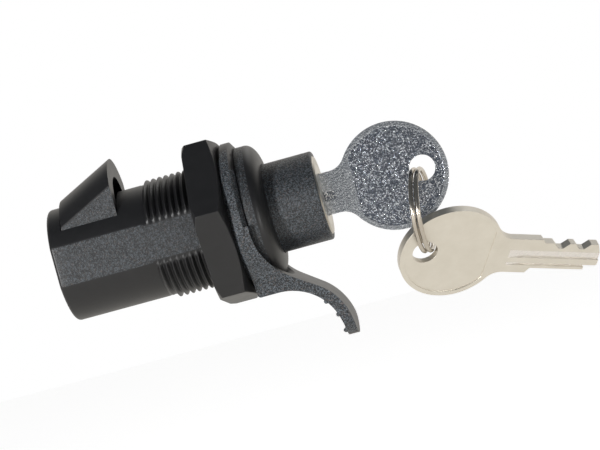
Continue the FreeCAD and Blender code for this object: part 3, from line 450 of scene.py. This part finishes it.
def buildHousing():
    b = barrel
    mesh = bmesh.new()
    angles = barrelAngles()
    free = 99
    profile = [(b["rear"], 0.5, b["flat"]), (b["rear"], 8, b["flat"])]
    rearRound = b["rearRound"]
    rearArc = arc(b["rear"] + rearRound, b["radius"] - rearRound, rearRound, 180, 90, 4)
    for across, radius in rearArc:
        shrink = b["radius"] - radius
        profile.append((across, radius, b["flat"] - shrink))
    plain = (b["slotRear"], b["slotFront"], b["threadEnd"] - 0.3)
    profile += [(x, b["radius"], b["flat"]) for x in plain]
    profile += [(x, b["threadRoot"], b["flat"]) for x in (b["threadEnd"], -0.4)]
    profile += [(0, b["threadRadius"], b["flat"]), (b["headRear"], b["threadRadius"], b["flat"])]
    corner = b["edgeRound"]
    for across, radius in arc(b["headRear"] + corner, b["headRadius"] - corner, corner, 180, 90, 3):
        profile.append((across, radius, free))
    rimStart = len(profile) - 2
    textured = len(profile)
    # the dome is a quarter of an ellipse
    for n in range(b["domeSteps"] + 1):
        turn = math.radians(90 * n / b["domeSteps"])
        across = b["headRim"] + (b["headFront"] - b["headRim"]) * math.sin(turn)
        radius = b["domeInner"] + (b["headRadius"] - b["domeInner"]) * math.cos(turn)
        profile.append((across, radius, free))
    profile += [
        (b["headFront"], b["bore"] + 0.12, free), (b["headFront"] - 0.12, b["bore"], free),
        (b["bulkhead"], b["bore"], free), (b["bulkhead"], b["bulkheadHole"], free),
        (b["slotFront"] + 0.02, b["bulkheadHole"], free),
    ]
    rows = [[mesh.verts.new(barrelPoint(x, r, a, f)) for a in angles] for x, r, f in profile]
    mesh.faces.new(rows[0])
    slotRow = next(n for n, p in enumerate(profile) if p[0] == b["slotRear"])
    slotAngle = math.degrees(math.asin(b["slotHalf"] / b["radius"]))
    inSlot = [n for n, a in enumerate(angles) if abs(a) < slotAngle + 0.01]
    for n, (first, second) in enumerate(zip(rows, rows[1:])):
        faces = bridge(mesh, first, second)
        if n == slotRow:
            bmesh.ops.delete(mesh, geom=[faces[k] for k in inSlot[:-1]], context="FACES_ONLY")
        for face in faces:
            if face.is_valid:
                face.normal_update()
                onFlat = n < textured - 4 and abs(face.normal.y) > 0.995
                onRim = rimStart <= n < textured
                face.material_index = 0 if onFlat or onRim else 1

    # the chamber under the slot, with the tongue's window in its front wall
    walls = []
    for row in (slotRow, slotRow + 1):
        top = [rows[row][k] for k in inSlot]
        levels = [top]
        for level in (b["windowHigh"], b["windowLow"], None):
            line = []
            for vertex in top:
                x, y, z = vertex.co
                drop = -math.sqrt(b["chamberRadius"] ** 2 - y * y) if level is None else level
                line.append(mesh.verts.new((x, y, drop)))
            levels.append(line)
        walls.append(levels)
        for k, (above, below) in enumerate(zip(levels, levels[1:])):
            made = bridge(mesh, above, below, closed=False)
            if k == 1 and row == slotRow + 1:
                window = [f for f in made if abs(f.calc_center_median().y) < b["windowHalf"]]
                bmesh.ops.delete(mesh, geom=window, context="FACES_ONLY")
    bridge(mesh, walls[0][-1], walls[1][-1], closed=False)
    for side in (0, -1):
        for rear, front in zip(zip(walls[0], walls[0][1:]), zip(walls[1], walls[1][1:])):
            mesh.faces.new([rear[0][side], front[0][side], front[1][side], rear[1][side]])
    bmesh.ops.recalc_face_normals(mesh, faces=mesh.faces)

    # the thread is one ridge wound round the barrel, and it fades in and out
    steps = int(b["turns"] * 360 / b["ridgeStep"])
    rows = []
    half = b["pitch"] / 2
    crest = b["crest"]
    foot = b["threadRoot"] - 0.05
    for n in range(steps + 1):
        angle = n * b["ridgeStep"]
        across = b["threadEnd"] + half * 0.9 + b["pitch"] * (angle / 360)
        across = min(across, -half * 0.3)
        left = b["turns"] * 360 - angle
        fade = max(0.02, min(1, angle / b["ridgeFade"], left / b["ridgeFade"]))
        tall = b["threadRoot"] + (b["threadRadius"] - b["threadRoot"]) * fade
        row = []
        for offset, radius in (
            (-half * 0.93, foot), (-crest, tall - 0.03), (-crest * 0.5, tall),
            (crest * 0.5, tall), (crest, tall - 0.03), (half * 0.93, foot),
        ):
            point = barrelPoint(across + offset, radius, angle - 180, b["flat"] - 0.02)
            row.append(mesh.verts.new(point))
        rows.append(row)
    ridge = []
    for first, second in zip(rows, rows[1:]):
        ridge += bridge(mesh, first, second, closed=False)
    for face in ridge:
        face.material_index = 1
    bmesh.ops.recalc_face_normals(mesh, faces=ridge)
    up = max(ridge, key=lambda f: f.calc_center_median().z)
    if up.normal.z < 0:
        bmesh.ops.reverse_faces(mesh, faces=ridge)
    shrunk(mesh)
    smoothShade(mesh, 30)
    piece("housingShell", mesh, "base", (barrelNylon, domeNylon), "black_nylon", "housing")


# the ring hangs from the first key's hole
ringSizes = {
    "radius": 9.4, "wire": 0.56, "pitch": 1.3, "turns": 1.94, "start": 100, "crossing": 34,
    "top": (42.7, 0, 0), "down": (-0.12187, 0, -0.99255), "normal": (0.98383, -0.13226, -0.12080),
}


def buildRing():
    r = ringSizes
    down = Vector(r["down"]).normalized()
    normal = Vector(r["normal"]).normalized()
    side = normal.cross(down).normalized()
    centre = Vector(r["top"]) + down * r["radius"]
    path = []
    steps = int(r["turns"] * 120)
    for n in range(steps + 1):
        angle = r["start"] + 360 * r["turns"] * n / steps
        # flat for most of a turn, then one crossing to the next
        along = (angle - r["start"] - 360 * (r["turns"] / 2)) / r["crossing"]
        rise = max(-1, min(1, along))
        rise = rise * (1.5 - 0.5 * rise * rise)
        turn = math.radians(angle)
        spoke = down * math.cos(turn) + side * math.sin(turn)
        path.append(centre + spoke * r["radius"] + normal * rise * r["pitch"] / 2)
    mesh = bmesh.new()
    tube(mesh, path, r["wire"], 20)
    shrunk(cleaned(mesh))
    smoothShade(mesh, 50)
    piece("ringWire", mesh, "ring", ringSteel, "ring_steel", "key_ring")


springSizes = {
    "return_spring": {
        "axis": 0, "turns": 5, "wire": 0.6, "joint": "button_push", "travel": 7.9,
        "name": "returnCoil", "body": "base", "slack": 0.12,
    },
    "bolt_spring": {
        "axis": 2, "turns": 7, "wire": 0.35, "joint": "bolt_retract", "travel": 7.9,
        "name": "boltCoil", "body": "base", "slack": 0.1,
    },
}


def buildSpring(nodeName):
    # a coil with closed ends
    s = springSizes[nodeName]
    low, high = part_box(nodeName)
    low, high = low / mm, high / mm
    axis = s["axis"]
    middle = (low + high) / 2
    wide = (high[1] - low[1]) / 2 - s["wire"] - s["slack"]
    foot = low[axis] + s["wire"] + s["slack"]
    reach = high[axis] - low[axis]
    tall = reach - 2 * (s["wire"] + s["slack"])
    path = []
    steps = int(s["turns"] * 48)
    for n in range(steps + 1):
        turn = 2 * math.pi * s["turns"] * n / steps
        across, up = wide * math.cos(turn), wide * math.sin(turn)
        along = foot + tall * n / steps
        path.append((along, across, up) if axis == 0 else (middle.x + across, up, along))
    mesh = bmesh.new()
    tube(mesh, path, s["wire"], 12)
    shrunk(cleaned(mesh))
    smoothShade(mesh, 60)
    coil = piece(s["name"], mesh, s["body"], springSteel, "spring_steel", nodeName)
    anchor = middle.copy()
    anchor[axis] = low[axis]
    anchor * mm
    (reach - s["travel"]) / reach
    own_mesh(coil)


# corner width, corner segments, piece, body and slot for each CAD node
softSizes = {
    "finger_pull": (0.22, 3, "fingerPull", "base", "pull_nylon"),
    "hex_nut": (0.16, 3, "hexNut", "nut", "nut_nylon"),
    "push_button": (0.1, 2, "pushButton", "button", "button_nylon"),
    "cylinder_shell": (0.08, 2, "cylinderShell", "button", "nickel_zinc"),
    "latch_bolt": (0.2, 3, "latchBolt", "bolt", "bolt_nylon"),
    "lock_plug": (0.06, 2, "lockPlug", "plug", "plug_nickel"),
    "key_1": (0.14, 3, "firstKey", "first_key", "key_chrome"),
    "key_2": (0.14, 3, "secondKey", "second_key", "key_satin"),
}

# the finish of the moulded sides, and how squarely a face has to look sideways to take it
sideTextured = {"latch_bolt": (boltNylon, 0.95), "finger_pull": (pullNylon, 0.4)}

# stamped field, rim and neck, milled grooves
keyFinishes = {
    "key_1": (keyNickel, rimNickel, keyNickel), "key_2": (spareNickel, spareNickel, milledNickel),
}


def buildSoft():
    for nodeName, (width, segments, name, body, slotName) in softSizes.items():
        mesh = softened(nodeName, width * mm, segments)
        finish = nodeFinish[nodeName]
        if nodeName in sideTextured:
            # the moulded sides are textured and the rest is smooth
            sideFinish, least = sideTextured[nodeName]
            finish = (sideFinish, domeNylon)
            for face in mesh.faces:
                face.material_index = 0 if abs(face.normal.y) > least else 1
        finish = keyFinishes.get(nodeName, finish)
        piece(name, mesh, body, finish, slotName, nodeName, weighted=True)
        print(name, "softened")


buildHousing()
print("housing built")
buildRing()
print("ring built")
buildSoft()
for nodeName in springSizes:
    buildSpring(nodeName)
print("springs built")


# the backdrop, light and camera
studio = {
    "azimuth": 5.45, "elevation": 1.4, "roll": 15.4, "distance": 0.575, "lens": 150.0,
    "target": (0.0135, 0.0, -0.0053), "floorHeight": -0.12, "floorSize": 3.0,
    "worldStrength": 0.08, "roomColour": (0.11, 0.12, 0.13), "backdropColour": (0.9, 0.87, 0.82),
    "backdropEdge": (0.25, 0.7),
    "floorColour": (0.9, 0.9, 0.9), "floorMirrored": (0.25, 0.25, 0.26),
    "floorGlow": (0.9, 0.87, 0.80), "floorStrength": 0.88,
}

# place, aim, size and power of each lamp
lamps = {
    "frontLamp": ((-0.48, -0.64, 0.06), (0, 0, 0), 0.12, 4),
    "sideFill": ((0.42, -0.5, -0.12), (0.01, 0, 0), 0.08, 1.3),
    "rimLight": ((0.3, 0.5, 0.6), (0, 0, 0), 0.5, 0.6),
}


def buildBackdrop():
    mesh = bmesh.new()
    half = studio["floorSize"] / 2
    bmesh.ops.create_grid(mesh, x_segments=1, y_segments=1, size=half)
    bmesh.ops.translate(mesh, verts=mesh.verts, vec=(0, 0, studio["floorHeight"]))
    data = bpy.data.meshes.new("floor")
    mesh.to_mesh(data)
    mesh.free()
    floor = bpy.data.objects.new("floor", data)
    bpy.context.collection.objects.link(floor)
    paper = Finish("paleFloor", studio["floorColour"], Roughness=0.9)
    mirrored = paper.node("LightPath", out="Is Glossy Ray")
    base = paper.blend(mirrored, studio["floorColour"], studio["floorMirrored"])
    paper.feed("Base Color", base)
    seen = paper.node("LightPath", out="Is Camera Ray")
    glow = paper.blend(mirrored, (0, 0, 0), studio["floorGlow"])
    lit = {0: seen, 6: glow, 7: (1, 1, 1, 1)}
    paper.feed("Emission Color", paper.node("Mix", {"data_type": "RGBA"}, lit, out=2))
    paper.shader.inputs["Emission Strength"].default_value = studio["floorStrength"]
    data.materials.append(paper.material)

    world = bpy.data.worlds.new("studio")
    bpy.context.scene.world = world
    world.use_nodes = True
    tree = world.node_tree
    tree.nodes.clear()
    path = tree.nodes.new("ShaderNodeLightPath")
    plain = tree.nodes.new("ShaderNodeBackground")
    plain.inputs["Strength"].default_value = studio["worldStrength"]
    mirrored = tree.nodes.new("ShaderNodeBackground")
    mirrored.inputs["Strength"].default_value = 1.0
    # what shiny surfaces see: a pale backdrop behind the object and a dim room in front of it
    facing = tree.nodes.new("ShaderNodeTexCoord")
    split = tree.nodes.new("ShaderNodeSeparateXYZ")
    ramp = tree.nodes.new("ShaderNodeValToRGB")
    dark, pale = ramp.color_ramp.elements
    dark.position, pale.position = studio["backdropEdge"]
    dark.color, pale.color = (*studio["roomColour"], 1), (*studio["backdropColour"], 1)
    tree.links.new(facing.outputs["Generated"], split.inputs[0])
    tree.links.new(split.outputs["Y"], ramp.inputs[0])
    tree.links.new(ramp.outputs[0], mirrored.inputs["Color"])
    white = tree.nodes.new("ShaderNodeBackground")
    white.inputs["Color"].default_value = (1, 1, 1, 1)
    first = tree.nodes.new("ShaderNodeMixShader")
    second = tree.nodes.new("ShaderNodeMixShader")
    out = tree.nodes.new("ShaderNodeOutputWorld")
    tree.links.new(path.outputs["Is Glossy Ray"], first.inputs[0])
    tree.links.new(plain.outputs[0], first.inputs[1])
    tree.links.new(mirrored.outputs[0], first.inputs[2])
    tree.links.new(path.outputs["Is Camera Ray"], second.inputs[0])
    tree.links.new(first.outputs[0], second.inputs[1])
    tree.links.new(white.outputs[0], second.inputs[2])
    tree.links.new(second.outputs[0], out.inputs["Surface"])


def addLamp(name, place, aim, size, power):
    light = bpy.data.lights.new(name, "AREA")
    light.shape = "DISK"
    light.size = size
    light.energy = power
    lamp = bpy.data.objects.new(name, light)
    lamp.location = place
    lamp.rotation_euler = (Vector(aim) - Vector(place)).to_track_quat("-Z", "Y").to_euler()
    bpy.context.collection.objects.link(lamp)


def buildCamera():
    azimuth = math.radians(studio["azimuth"])
    elevation = math.radians(studio["elevation"])
    roll = math.radians(studio["roll"])
    back = Vector((
        math.sin(azimuth) * math.cos(elevation),
        -math.cos(azimuth) * math.cos(elevation),
        math.sin(elevation),
    ))
    level = Vector((math.cos(azimuth), math.sin(azimuth), 0))
    upright = back.cross(level)
    right = level * math.cos(roll) - upright * math.sin(roll)
    up = level * math.sin(roll) + upright * math.cos(roll)
    data = bpy.data.cameras.new("camera")
    data.lens = studio["lens"]
    data.sensor_width = 36
    data.clip_start = 0.01
    data.clip_end = 20
    camera = bpy.data.objects.new("camera", data)
    turn = Matrix((right, up, back)).transposed().to_4x4()
    place = Vector(studio["target"]) + back * studio["distance"]
    camera.matrix_world = Matrix.Translation(place) @ turn
    bpy.context.collection.objects.link(camera)
    bpy.context.scene.camera = camera


buildBackdrop()
for name, values in lamps.items():
    addLamp(name, *values)
buildCamera()
bpy.context.scene.view_settings.view_transform = "Standard"
print("studio built")
